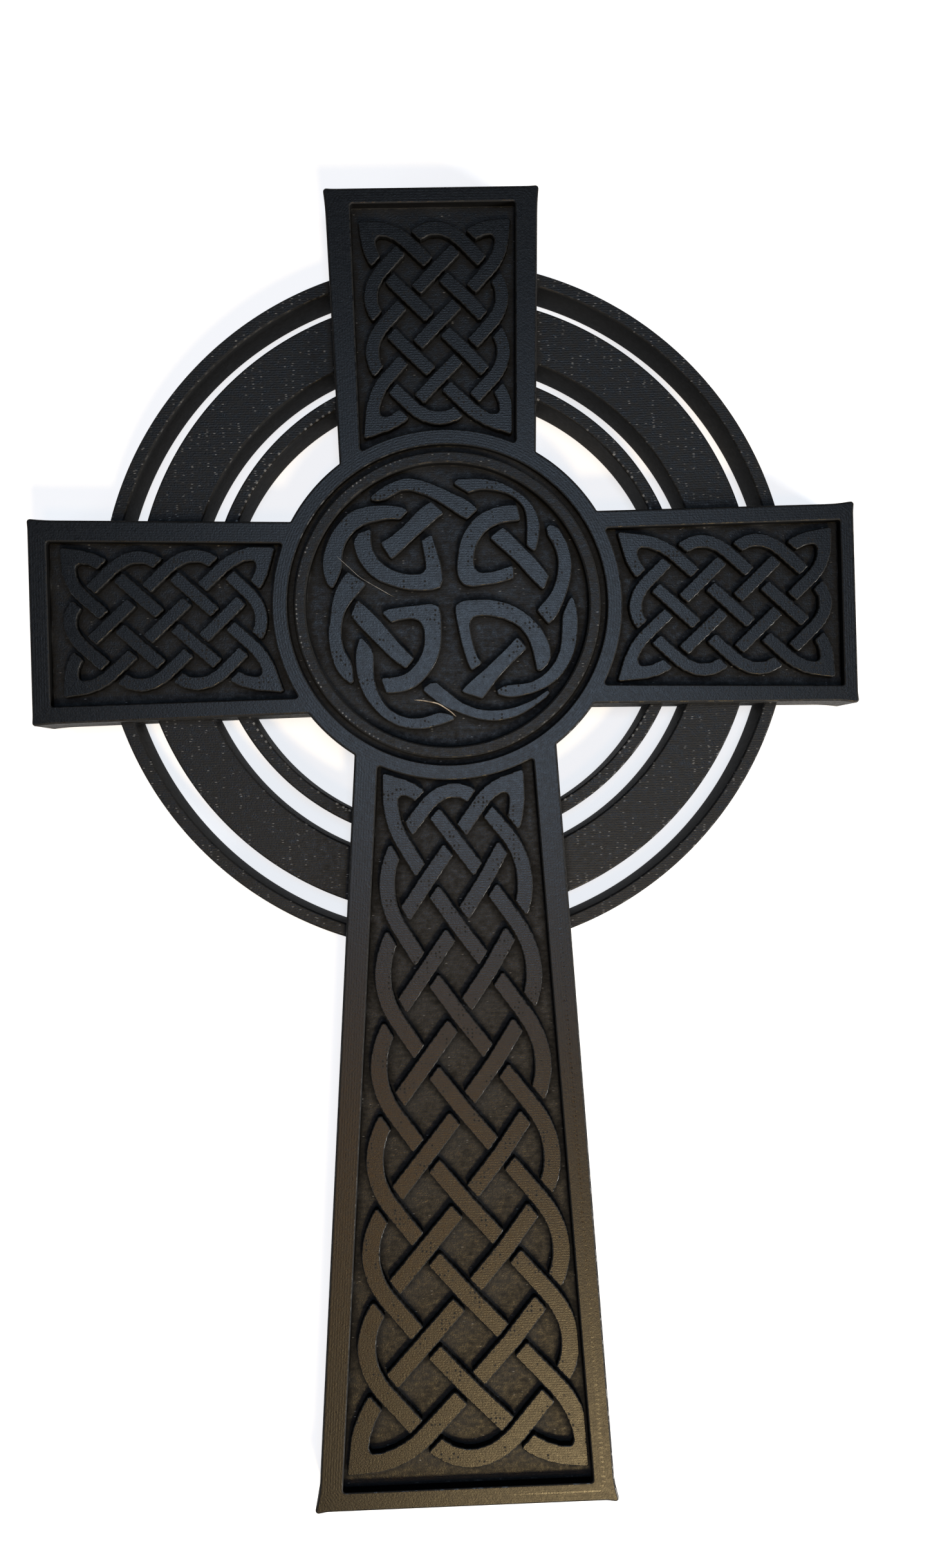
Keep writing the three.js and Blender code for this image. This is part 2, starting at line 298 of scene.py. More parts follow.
def wellLoop(arm):
    # sunk panel: straight sides and end, and an arc about the medallion at the root
    radius = medallion["panelArc"]
    ends = [math.atan2(math.sqrt(radius ** 2 - x ** 2), x) for x in arm["wellRoot"]]
    arc = onCircle(radius, np.linspace(*ends, body["wellArcPoints"]))
    top = np.array([[arm["wellTip"][1], arm["wellEnd"]], [arm["wellTip"][0], arm["wellEnd"]]])
    loop = softened(np.concatenate([top, arc]), body["wellCorner"], body["hollow"])
    return turned(refined(loop, body["spacing"]), arm["turn"])


# the strands of a plait: bars on a lattice, over at one crossing and stopping short of the next
plait = {
    "cells": 3, "gap": 0.45, "steps": 12, "inset": (0.36, 0.46), "lead": 0.6, "keepOff": 0.3,
    "probe": 0.3, "mitre": 0.42,
}


def latticePoint(arm, lattice):
    # lattice (a across, b from tip to root) to millimetres; rows near the root lean towards its arc
    a, b = np.asarray(lattice, float).T
    last = arm["rows"] * 2
    u = a / plait["cells"] - 1
    x = arm["centre"] + mix(arm["tipHalf"], arm["rootHalf"], b / last) * u * (1 - arm["pinch"] * u * u)
    arc = np.sqrt(np.maximum(medallion["panelArc"] ** 2 - x * x, 0))
    lean = (arc - arm["rootAt"]) * np.exp((b - last) / arm["settle"])
    return np.stack([x, mix(arm["tipAt"], arm["rootAt"], b / last) + lean], 1)


def strandWidth(arm, b):
    # the width changes evenly from tip to root
    return mix(arm["tipWidth"], arm["rootWidth"], np.asarray(b, float) / (arm["rows"] * 2))


def bend(p, c, q):
    # quadratic curve from p to q with control point c
    t = np.linspace(0, 1, plait["steps"] + 1)[:, None]
    return (1 - t) ** 2 * np.asarray(p) + 2 * t * (1 - t) * np.asarray(c) + t ** 2 * np.asarray(q)


def halfBar(start, step, size):
    # from an over-crossing to the crossing where the bar passes under, turning back at the border
    points, direction = [np.array(start, float)], np.array(step, float)
    while True:
        points.append(points[-1] + direction)
        atBorder = (points[-1] <= 0) | (points[-1] >= size)
        direction = np.where(atBorder, -direction, direction)
        if not atBorder.any():
            break
    end, cross = points[-1], direction * (1, -1)
    if len(points) == 2:
        return np.array(points), end, cross
    if len(points) == 3:
        return bend(points[0], points[1], end), end, cross
    low = points[1] + points[2] < size
    corner = np.where(low, plait["inset"], size - plait["inset"])
    rise = bend(points[0], mix(points[0], points[1], plait["lead"]), corner)
    fall = bend(corner, mix(end, points[2], plait["lead"]), end)
    drop = plait["steps"] // 3  # the legs run straight into the corner
    return np.concatenate([rise[:-drop], corner[None], fall[drop:]]), end, cross


def ribbon(points, widths):
    # left and right side of a band about a polyline, with mitred joints
    d = unit(np.diff(points, axis=0))
    incoming, outgoing = np.concatenate([d[:1], d]), np.concatenate([d, d[-1:]])
    across = unit(incoming + outgoing)
    reach = widths / 2 / np.maximum((across * outgoing).sum(1), plait["mitre"])
    side = np.stack([-across[:, 1], across[:, 0]], 1) * reach[:, None]
    return points + side, points - side


def shortened(side, crossing, normal, distance):
    # one side of a band, cut from its first point to a line at that distance from a crossing
    depth = (side - crossing) @ normal - distance
    first = int(np.argmax(depth > 0))
    if first == 0:
        return side
    f = depth[first - 1] / (depth[first - 1] - depth[first])
    return np.concatenate([mix(side[first - 1], side[first], f)[None], side[first:]])


def plaitBars(arm):
    # one bar for every crossing: the band about its lattice path, cut where it passes under the next strand
    size = np.array([plait["cells"] * 2, arm["rows"] * 2])
    for b in range(1, size[1]):
        for a in range(1 + b % 2, size[0], 2):
            step = np.array([1, -1 if (b % 2 == 1) == arm["rising"] else 1])
            behind, ahead = halfBar((a, b), -step, size), halfBar((a, b), step, size)
            lattice = np.concatenate([behind[0][:0:-1], ahead[0]])
            sides = ribbon(latticePoint(arm, lattice), strandWidth(arm, lattice[:, 1]))
            for path, end, cross in (behind, ahead):
                at, over = latticePoint(arm, [end, end + cross * plait["probe"]])
                over = unit(over - at)
                normal = np.array([-over[1], over[0]])
                normal = normal * np.sign(normal @ (latticePoint(arm, path[-2:-1])[0] - at))
                stop = strandWidth(arm, end[1]) / 2 + plait["gap"]
                sides = [shortened(side, at, normal, stop)[::-1] for side in sides]
            yield turned(np.concatenate([sides[1], sides[0][::-1]]), arm["turn"])


# the knot in the medallion: each bar by its two long sides, the second one running back
knot = {
    "step": 0.7,
    "arcs": (
        (((-20.0, 3.1), (-19.25, 4.4), (-18.55, 5.95), (-18.15, 7.2), (-18.05, 9.0), (-17.7, 10.4), (-17.0, 11.8),
          (-16.1, 12.9), (-15.1, 13.7), (-13.6, 14.45), (-11.9, 14.8), (-10.2, 15.1), (-7.9, 15.05)),
         ((-6.2, 16.7), (-7.45, 17.3), (-9.1, 17.6), (-11.3, 17.7), (-13.3, 17.6), (-14.9, 17.3), (-16.5, 16.65),
          (-17.7, 15.75), (-18.8, 14.5), (-20.0, 12.9), (-20.9, 10.95), (-21.5, 9.0), (-21.65, 7.05), (-21.3, 5.0),
          (-20.9, 4.0))),
        (((1.2, 21.2), (1.9, 21.9), (3.55, 22.0), (5.8, 22.0), (7.7, 21.8), (9.65, 21.3), (11.3, 20.5), (13.0, 19.4),
          (14.4, 18.2), (15.5, 16.8), (16.2, 15.3), (16.5, 13.7), (16.35, 12.05), (16.05, 10.4), (15.5, 8.7)),
         ((13.95, 10.0), (14.05, 12.05), (14.1, 13.7), (14.0, 15.3), (13.6, 16.7), (12.7, 17.8), (11.6, 18.7),
          (9.95, 19.4), (8.3, 19.75), (6.3, 19.9), (4.1, 19.4))),
        (((-15.7, -5.5), (-16.2, -7.2), (-16.4, -9.1), (-16.3, -11.05), (-16.05, -12.7), (-15.5, -14.4),
          (-14.7, -16.05), (-13.55, -17.6), (-12.2, -19.1), (-10.5, -20.3), (-8.55, -21.15), (-6.3, -21.5),
          (-4.1, -21.45), (-2.2, -21.0), (-0.5, -20.5), (0.2, -20.25)),
         ((1.15, -19.65), (0.05, -19.05), (-1.05, -18.7), (-2.45, -18.65), (-3.8, -19.1), (-5.5, -19.45),
          (-7.2, -19.4), (-8.55, -19.0), (-9.8, -18.35), (-10.8, -17.6), (-11.6, -16.5), (-12.3, -15.2),
          (-12.8, -13.8), (-13.05, -12.45), (-13.15, -10.8), (-13.05, -9.1), (-13.2, -7.8), (-13.8, -6.7),
          (-15.1, -5.2))),
        (((21.7, 1.6), (22.3, 0.2), (22.65, -1.6), (22.7, -4.1), (22.5, -6.3), (22.1, -8.3), (21.3, -10.2),
          (20.2, -12.0), (18.8, -13.5), (17.4, -14.5), (15.8, -15.3), (14.1, -15.85), (12.2, -16.25), (10.2, -16.4),
          (8.3, -15.95)),
         ((8.0, -15.0), (9.1, -14.35), (10.8, -14.05), (12.45, -13.95), (14.1, -13.65), (15.8, -12.85),
          (17.2, -11.7), (18.4, -10.2), (19.25, -8.3), (19.65, -6.05), (19.8, -3.8), (19.95, -2.2), (20.9, 0.0))),
    ),
    "caps": (
        (((-13.5, 18.75), (-12.4, 18.35), (-10.6, 18.5), (-9.1, 19.2), (-7.45, 20.0), (-6.3, 20.05), (-4.7, 19.6),
          (-3.0, 18.95), (-1.6, 18.2), (-0.2, 17.3), (0.8, 16.65), (2.2, 15.65), (3.75, 14.75)),
         ((5.85, 16.6), (4.65, 17.75), (3.4, 18.6), (2.2, 19.15), (1.05, 19.75), (-0.35, 20.45), (-1.5, 20.95),
          (-3.0, 21.6), (-4.95, 22.15), (-6.9, 22.3), (-8.55, 21.9), (-10.2, 21.2), (-11.9, 20.1), (-12.6, 19.55))),
        (((18.2, 13.8), (19.4, 13.3), (20.5, 11.8), (21.3, 10.1), (21.75, 8.45), (21.9, 6.8), (21.75, 4.8),
          (21.3, 2.9), (20.6, 0.95), (19.9, -0.75), (18.9, -2.5), (17.5, -3.95)),
         ((15.4, -1.3), (16.2, -0.3), (17.2, 0.7), (18.3, 2.35), (18.95, 4.0), (19.3, 5.7), (19.4, 7.3),
          (19.1, 8.85), (18.5, 10.4), (17.6, 12.05), (17.45, 13.2))),
        (((-17.3, 6.4), (-18.7, 4.6), (-19.7, 2.6), (-20.2, 0.95), (-20.45, -0.6), (-20.65, -2.2), (-21.0, -4.4),
          (-20.9, -6.3), (-20.55, -8.5), (-19.95, -10.4), (-18.8, -12.2), (-17.3, -13.4)),
         ((-16.7, -13.0), (-16.75, -11.6), (-16.9, -9.95), (-17.3, -8.95), (-18.0, -7.7), (-18.45, -6.05),
          (-18.55, -4.1), (-18.3, -2.2), (-17.7, -0.5), (-16.75, 0.9), (-15.5, 2.3), (-13.9, 4.1))),
        (((-4.7, -14.3), (-3.6, -13.45), (-2.5, -13.25), (-1.05, -14.4), (0.35, -15.6), (1.7, -16.7), (3.3, -17.55),
          (5.2, -18.2), (7.45, -18.45), (9.65, -18.3), (11.6, -17.85), (13.3, -17.25), (14.7, -16.6),
          (16.05, -15.75), (16.7, -15.3)),
         ((17.9, -14.7), (17.75, -15.5), (16.9, -16.5), (15.2, -17.75), (13.55, -18.8), (11.9, -19.65),
          (10.2, -20.15), (8.0, -20.45), (5.8, -20.3), (3.55, -19.75), (1.6, -19.0), (0.2, -18.45),
          (-0.8, -17.95), (-2.2, -17.05), (-3.55, -16.0), (-4.75, -14.9))),
    ),
    "loops": (
        (((-15.3, 12.9), (-16.1, 11.7), (-15.95, 9.8), (-15.4, 8.2), (-14.5, 6.8), (-13.4, 5.5), (-11.9, 4.4),
          (-9.95, 3.6), (-8.0, 2.95), (-6.05, 2.65), (-4.1, 2.55), (-2.4, 2.65), (-1.2, 3.0), (-0.75, 3.9),
          (-0.7, 5.0), (-0.85, 6.2), (-1.05, 7.6), (-1.4, 9.0), (-1.75, 10.2), (-2.35, 12.6)),
         ((-4.4, 11.4), (-4.1, 9.55), (-3.9, 8.2), (-3.75, 7.0), (-3.85, 6.2), (-4.6, 5.7), (-6.3, 5.6), (-8.0, 5.9),
          (-9.7, 6.6), (-10.8, 7.3), (-11.9, 8.45), (-12.6, 9.7), (-12.95, 10.95), (-12.95, 12.3), (-12.85, 13.8))),
        (((12.6, 17.2), (11.05, 17.25), (9.1, 17.0), (7.45, 16.5), (6.05, 15.8), (4.65, 14.7), (3.55, 13.3),
          (2.7, 11.8), (2.15, 10.1), (1.9, 8.45), (1.7, 6.8), (1.75, 5.4), (2.2, 4.1), (3.0, 3.3), (4.0, 3.05),
          (6.05, 3.2), (8.0, 3.4), (9.95, 3.8), (11.7, 4.3)),
         ((11.7, 6.85), (10.5, 6.45), (8.85, 5.95), (7.2, 5.65), (5.8, 5.7), (5.05, 6.3), (4.8, 7.35), (4.9, 8.7),
          (5.3, 10.1), (5.95, 11.35), (6.9, 12.5), (8.0, 13.3), (9.4, 13.9), (11.05, 14.2), (13.2, 14.4))),
        (((-11.75, -1.0), (-10.8, -0.5), (-8.55, -0.1), (-6.3, 0.1), (-4.1, 0.3), (-2.5, 0.35), (-1.5, -0.1),
          (-1.2, -1.5), (-1.15, -3.55), (-1.2, -5.5), (-1.4, -7.45), (-1.9, -9.1), (-2.6, -10.5), (-3.55, -11.9),
          (-4.65, -13.1), (-5.9, -14.1), (-7.45, -14.8), (-9.1, -15.1), (-11.2, -15.2)),
         ((-12.2, -12.3), (-10.8, -12.3), (-9.1, -12.1), (-7.45, -11.5), (-6.05, -10.2), (-5.1, -8.8), (-4.5, -7.2),
          (-4.3, -5.5), (-4.45, -3.95), (-5.0, -2.9), (-6.05, -2.35), (-7.7, -2.4), (-9.95, -2.95))),
        (((3.75, -11.7), (3.1, -10.2), (2.6, -8.55), (2.1, -6.6), (1.75, -4.65), (1.4, -2.7), (1.2, -1.05),
          (1.3, 0.05), (2.1, 0.65), (3.55, 0.85), (5.5, 0.9), (7.45, 0.85), (9.1, 0.55), (10.8, 0.0),
          (12.45, -0.8), (13.95, -1.9), (15.4, -3.3), (16.6, -4.95), (17.4, -6.6), (17.8, -8.3),
          (17.75, -9.65), (17.2, -10.8), (16.1, -11.9)),
         ((15.2, -12.0), (14.85, -9.95), (14.5, -8.3), (13.95, -6.6), (13.1, -5.1), (12.0, -3.95), (10.5, -3.1),
          (8.8, -2.5), (7.2, -2.15), (5.5, -2.1), (4.3, -2.4), (3.85, -3.3), (3.9, -4.65), (4.2, -6.3), (4.65, -8.0),
          (5.2, -9.4), (5.8, -10.3))),
    ),
    "chords": (
        (((-9.7, 8.0), (-8.3, 9.1), (-6.9, 10.4), (-5.2, 11.9), (-3.55, 13.3), (-2.2, 14.4), (-1.05, 15.4),
          (0.0, 16.0)),
         ((-2.4, 18.2), (-3.8, 17.4), (-4.95, 16.5), (-6.05, 15.4), (-7.4, 14.05), (-8.8, 12.9), (-10.1, 11.95),
          (-11.6, 11.2))),
        (((10.0, 13.5), (11.3, 12.3), (12.7, 10.8), (13.95, 9.45), (15.2, 8.2), (16.6, 6.5), (17.9, 4.7)),
         ((16.8, 1.95), (15.8, 3.0), (14.1, 4.85), (12.45, 6.8), (10.8, 8.45), (9.1, 10.0), (7.45, 11.6))),
        (((-15.8, 1.5), (-14.4, 0.35), (-13.0, -1.05), (-11.9, -2.2), (-10.5, -3.95), (-8.8, -6.05), (-7.2, -7.9),
          (-6.0, -9.15)),
         ((-7.6, -11.0), (-9.7, -9.5), (-11.9, -7.3), (-14.1, -4.95), (-15.8, -3.1), (-17.0, -1.4))),
        (((5.6, -16.6), (6.6, -15.4), (7.7, -13.95), (9.1, -12.3), (10.8, -10.6), (12.45, -9.1), (13.7, -7.9)),
         ((12.0, -5.6), (11.05, -6.6), (9.65, -8.0), (8.0, -9.5), (6.3, -11.05), (4.65, -12.4), (3.0, -13.8),
          (1.6, -15.2))),
    ),
}


def smoothPath(points, spacing):
    # cubic curve through the points, in equal steps of length; the slope at a point is the mean of the
    # slopes on both sides, weighed by the nearer neighbour
    p = np.asarray(points, float)
    h = np.linalg.norm(np.diff(p, axis=0), axis=1)[:, None]
    d = np.diff(p, axis=0) / h
    slope = np.concatenate([d[:1], (d[:-1] * h[1:] + d[1:] * h[:-1]) / (h[:-1] + h[1:]), d[-1:]])
    cuts = 12
    k = np.repeat(np.arange(len(h)), cuts)
    t = np.tile(np.arange(cuts) / cuts, len(h))[:, None]
    fine = (p[k] * (2 * t ** 3 - 3 * t ** 2 + 1) + p[k + 1] * (3 * t ** 2 - 2 * t ** 3)
            + h[k] * (slope[k] * (t ** 3 - 2 * t ** 2 + t) + slope[k + 1] * (t ** 3 - t ** 2)))
    fine = np.concatenate([fine, p[-1:]])
    run = np.concatenate([[0], np.cumsum(np.linalg.norm(np.diff(fine, axis=0), axis=1))])
    at = np.linspace(0, run[-1], max(int(run[-1] / spacing), 2) + 1)
    return np.stack([np.interp(at, run, fine[:, n]) for n in range(p.shape[1])], 1)


def knotBars():
    # each bar is the curve through its first side and then the curve through the second
    for kind in ("arcs", "caps", "loops", "chords"):
        for first, second in knot[kind]:
            yield np.concatenate([smoothPath(first, knot["step"]), smoothPath(second, knot["step"])])


# each bar has a softened top edge, and its long sides step where the print's lines end
strand = {
    "corner": 0.5, "hollow": 0.9, "knotHollow": 0.3, "edge": 0.2, "edgeSteps": 3, "spacing": 0.42,
    "stepPitch": 0.84, "stepDepth": 0.12, "knotStep": 0.05,
}


def clearOf(loop, fence, distance):
    # points nearer to a closed fence than the distance, or past it, are moved to its inside
    start, along = fence, np.roll(fence, -1, 0) - fence
    t = ((loop[:, None] - start) * along).sum(2) / (along * along).sum(1)
    foot = start + along * np.clip(t, 0, 1)[..., None]
    nearest = np.argmin(np.linalg.norm(loop[:, None] - foot, axis=2), axis=1)
    pick = np.arange(len(loop))
    n = unit(np.stack([-along[:, 1], along[:, 0]], 1))[nearest]
    depth = ((loop - foot[pick, nearest]) * n).sum(1)
    return loop + n * np.maximum(distance - depth, 0)[:, None]


def addBar(shell, outline, fence, hollow, depth):
    # wall and softened edge carried round the outline, and a flat top; slanting sides move in by a share
    # of the depth that grows along each step and starts again
    area = np.sum(outline[:, 0] * np.roll(outline[:, 1], -1) - outline[:, 1] * np.roll(outline[:, 0], -1))
    loop = clearOf(outline if area > 0 else outline[::-1], fence, plait["keepOff"])
    loop = refined(softened(loop, strand["corner"], hollow), strand["spacing"])
    normals = inward(loop)
    phase = (loop[:, 1] / strand["stepPitch"]) % 1
    slant = 4 * np.abs(normals[:, 0] * normals[:, 1])  # none on level or upright sides
    loop = loop + normals * (depth * np.minimum(slant, 1) * phase)[:, None]
    edge = roundedEdge(strand["edge"], heights["strand"], strand["edgeSteps"])
    profile = np.concatenate([[[0, heights["ground"]]], edge])
    ids = shell.add(carried(loop, profile, normals))
    shell.strip(ids)
    shell.fill([ids[:, -1]])
    return ids[:, 0]


def circleLoop(profile):
    # profile of (radius, height) pairs turned about the medallion's middle
    angles = np.linspace(0, 2 * math.pi, medallion["steps"], endpoint=False)
    radius, height = np.asarray(profile, float).T
    return raised(onCircle(radius[None, :], angles[:, None]), height)


def buildBody(shell, outline):
    # wall carried round the outline, wells carried round their loops, and flat fills between them
    front, ground, edge, fillet = heights["front"], heights["ground"], body["wellEdge"], body["fillet"]
    bevel = body["bevel"]  # share of an edge or fillet at its middle point
    wall = np.concatenate([[[body["foot"], 0.0], [0.0, body["foot"]]], roundedEdge(body["edge"], front)])
    outer = shell.add(carried(outline, wall))
    shell.strip(outer)
    shell.fill([outer[:, 0]], down=True)

    # groove, raised rim and well of the medallion; its profile runs from outside to inside
    m = medallion
    far, near, floor, well = m["grooveOuter"], m["grooveInner"], m["grooveFloor"], m["well"]
    lip, lean, foot, soft = m["grooveEdge"], m["grooveLean"], m["grooveFoot"], m["rimEdge"]
    aside, below = m["rimBevel"]
    grid = circleLoop([
        [far + lip, front], [far, front - lip], [far - lean, floor + lip], [far - foot, floor],
        [near + foot, floor], [near + lean, floor + lip],
        [near, front - soft], [near - aside, front - below], [near - soft, front],
        [well + soft, front], [well + below, front - below], [well, front - soft],
        [well, ground + fillet], [well - fillet, ground],
    ])
    rings = shell.add(grid)
    shell.strip(rings)
    fence = grid[:, -1, :2]
    knots = [addBar(shell, bar, fence, strand["knotHollow"], strand["knotStep"]) for bar in knotBars()]
    shell.fill([rings[:, -1], *knots])

    holes = [rings[:, 0]]
    sunk = [[-edge, front], [-edge * bevel, front - edge * bevel], [0, front - edge],
            [0, ground + fillet], [fillet * bevel, ground + fillet * bevel], [fillet, ground]]
    for arm in arms:
        grid = carried(wellLoop(arm), sunk)
        ids = shell.add(grid)
        shell.strip(ids)
        fence = grid[:, -1, :2]
        bars = [addBar(shell, bar, fence, strand["hollow"], strand["stepDepth"]) for bar in plaitBars(arm)]
        shell.fill([ids[:, -1], *bars])
        holes.append(ids[:, 0])
    shell.fill([outer[:, -1], *holes])


# the pierced ring: outer rim, broad band and inner rim, their ends sunk in the arms
ring = {"bands": ((60.7, 58.4), (54.5, 45.4), (41.7, 39.4)), "edge": 0.3, "edgeSteps": 3, "sunk": 1.2, "step": 0.9}


def buildRing(shell):
    # closed section of each band carried along an arc; each end follows the edge of its arm
    for arm, following in zip(arms, arms[1:] + arms[:1]):
        for outer, inner in ring["bands"]:
            top = roundedEdge(ring["edge"], heights["ring"], ring["edgeSteps"])
            section = np.concatenate([
                [[inner + body["foot"], 0], [inner, body["foot"]]], top + [inner, 0],
                top[::-1] * [-1, 1] + [outer, 0], [[outer, body["foot"]], [outer - body["foot"], 0]],
            ])
            starts, ends = [], []
            for radius in section[:, 0]:
                first = turned([circleHit(*armEdges(arm)[1], radius)], arm["turn"])[0]
                last = turned([circleHit(*armEdges(following)[0], radius)], following["turn"])[0]
                starts.append(angleOf(first) - ring["sunk"] / radius)
                ends.append(angleOf(last) + ring["sunk"] / radius)
            starts, ends = np.array(starts), np.array(ends)
            ends = ends + 2 * math.pi * (ends < starts)
            rows = int((ends - starts).mean() * outer / ring["step"])
            angles = mix(starts[None, :], ends[None, :], np.linspace(0, 1, rows)[:, None])
            ids = shell.add(raised(onCircle(section[None, :, 0], angles), section[:, 1]))
            shell.strip(ids[:, ::-1], closed=False, across=True)
            shell.cap(ids[0, ::-1])
            shell.cap(ids[-1])


def fromOutline(outline):
    # distance of each point from the body's outline, in millimetres
    along = np.roll(outline, -1, 0) - outline
    atOnce = 4000  # points, to spare memory

    def distance(points):
        out = []
        for part in np.array_split(points[:, :2], max(len(points) // atOnce, 1)):
            t = ((part[:, None] - outline) * along).sum(2) / (along * along).sum(1)
            foot = outline + along * np.clip(t, 0, 1)[..., None]
            out.append(np.linalg.norm(part[:, None] - foot, axis=2).min(1))
        return np.concatenate(out)

    return distance


class Wire:
    # a shader socket that can be used in sums; every other node comes from node()
    def __init__(self, tree, socket=None):
        self.tree, self.socket = tree, socket

    def node(self, kind, settings=None, inputs=None, output=0):
        # a new node: settings first, then inputs, and one of its outputs
        made = self.tree.nodes.new(kind)
        for name, value in (settings or {}).items():
            setattr(made, name, value)
        for name, value in (inputs or {}).items():
            if isinstance(value, Wire):
                self.tree.links.new(value.socket, made.inputs[name])
            else:
                made.inputs[name].default_value = value
        return Wire(self.tree, made.outputs[output] if made.outputs else None)

    def maths(self, operation, *values):
        return self.node("ShaderNodeMath", {"operation": operation}, dict(enumerate(values)))

    def __add__(self, other):
        return self.maths("ADD", self, other)

    def __mul__(self, other):
        return self.maths("MULTIPLY", self, other)

    def __sub__(self, other):
        return self.maths("SUBTRACT", self, other)

    def __rsub__(self, other):
        return self.maths("SUBTRACT", other, self)

    __radd__, __rmul__ = __add__, __mul__  # the order makes no difference

    def parts(self):
        # the three numbers of a vector
        split = self.node("ShaderNodeSeparateXYZ", inputs={0: self}).socket.node
        return [Wire(self.tree, part) for part in split.outputs]

    def wave(self, pitch):
        # sine that repeats once in every pitch
        return self.maths("SINE", self * (2 * math.pi / pitch))

    def between(self, low, high):
        # 0 below low, 1 above high, smooth between
        return self.node("ShaderNodeMapRange", {"interpolation_type": "SMOOTHSTEP"},
                         {0: self, 1: low, 2: high, 3: 0.0, 4: 1.0})

    def within(self, low, high, soft):
        # 1 from low to high, fading over a soft stretch inside both
        return self.between(low, low + soft) * (1 - self.between(high - soft, high))

    def blend(self, a, b):
        # colour a where this is 0 and b where it is 1
        return self.node("ShaderNodeMix", {"data_type": "RGBA"}, {0: self, 6: a, 7: b}, 2)


def emptyMaterial(name):
    # a material with no nodes, and a wire to add them by
    material = bpy.data.materials.new(name)
    material.use_nodes = True
    material.node_tree.nodes.clear()
    return material, Wire(material.node_tree)


plastic = {
    "top": (0.0036, 0.0040, 0.0050, 1), "ground": (0.0038, 0.0044, 0.0056, 1), "worn": (0.0070, 0.0072, 0.0078, 1),
    # the pale grey of glints is a painted highlight, and the near-black of pits and inner walls is painted shade
    "pitShade": (0.001, 0.001, 0.001, 1), "glint": (0.22, 0.22, 0.22, 1), "cover": 0.9, "wornTop": 0.3, "wornGround": 0.6,
    # the matt layer is near-black painted shade on the walls of slots, wells and strands
    "ior": 1.47, "specular": 0.5, "mattRough": 0.75, "mattSpecular": 0.08, "wallShadeShare": 0.8,
    # roughness of the faces, and what is added to it or taken away in places
    "roughTop": 0.36, "roughStrand": 0.33, "roughGround": 0.55, "roughWall": 0.3, "roughPit": 0.45,
    "roughGlint": 0.2, "roughTick": 0.1, "shine": 0.13, "mottleGround": 0.4, "mottleAll": 0.22,
    "cornerReach": 0.0015, "cornerRays": 6, "cornerDull": 0.42, "edgeDull": 0.4,
    # distances of lines, ticks and the beads of painted highlight, in millimetres
    "linePitch": 0.42, "lineDrift": 0.546, "layerPitch": 0.2, "railPitch": 0.45, "tickPitch": 0.84,
    "glintBeadPitch": 0.85, "glintBeadCircle": 26.5,
    # depth of the relief in metres, and shares of its patterns
    "depth": 0.00003, "groundLines": 0.08, "ringLines": 0.12, "topLines": 0.07, "layers": 0.45,
    "groundGrain": 2.2, "topGrain": 1.1, "wallGrain": 0.6, "streaks": 0.4,
    # cells that may hold a spot, in millimetres, and how far spots leave their rows; the spots are glints of painted
    # highlight and pits of painted shade
    "glintCell": (1.4, 0.42), "glintSpread": 0.85, "pitCell": (0.75, 0.84), "pitSpread": 0.45,
    "ringPicks": 0.24, "ringPatches": 0.06,
    # scale per millimetre, detail, roughness, and for some a factor along x, y and z
    "noises": {
        "drift": (0.05, 2.0, 0.5), "grain": (3.2, 3.0, 0.6), "patch": (0.35, 2.0, 0.5), "mottle": (1.3, 3.0, 0.6),
        "streak": (1.0, 2.0, 0.6, 1.1, 4.2, 1.0), "worn": (1.0, 3.0, 0.6, 0.6, 1.6, 1.0),
        "glintBeads": (0.3, 1.0, 0.5), "edges": (0.8, 1.0, 0.5),
    },
    # values at which a mask begins and is full
    "masks": {
        "level": (0.55, 0.9), "wall": (0.15, 0.45), "edgeFrom": (0.35, 0.6), "edgeTo": (0.93, 0.985),
        "aboveGround": (8.9, 9.2), "frameTop": (9.9, 10.1), "ringTop": (7.9, 8.0), "aboveRing": (8.11, 8.14),
        "offDisc": (30.4, 30.8), "offOutline": (0.3, 0.6), "open": (0.5, 0.98), "edges": (0.5, 0.62),
        "mottle": (0.35, 0.65), "worn": (0.34, 0.68),
        "glintPick": (0.88, 0.97), "glintPatch": (0.48, 0.62), "glintSize": (0.08, 0.20),
        "pitPick": (0.25, 0.60), "pitPatch": (0.54, 0.62), "pitSize": (0.14, 0.32),
        "glintBeadWave": (0.3, 0.8), "glintBeads": (0.42, 0.60), "glintBeadSide": (-16, -4),
        "tickWave": (0.2, 0.6), "tickSide": (5, 12), "tickEnd": (-60, -40),
    },
    # both sides of a strip and the fade inside them, in millimetres
    "strips": {
        "rim": (24.5, 26.9, 0.3), "rimGlintBeads": (26.1, 26.45, 0.1), "ringGlintBeads": (39.5, 39.95, 0.1),
        "ticks": (1.5, 2.3, 0.2),
    },
}


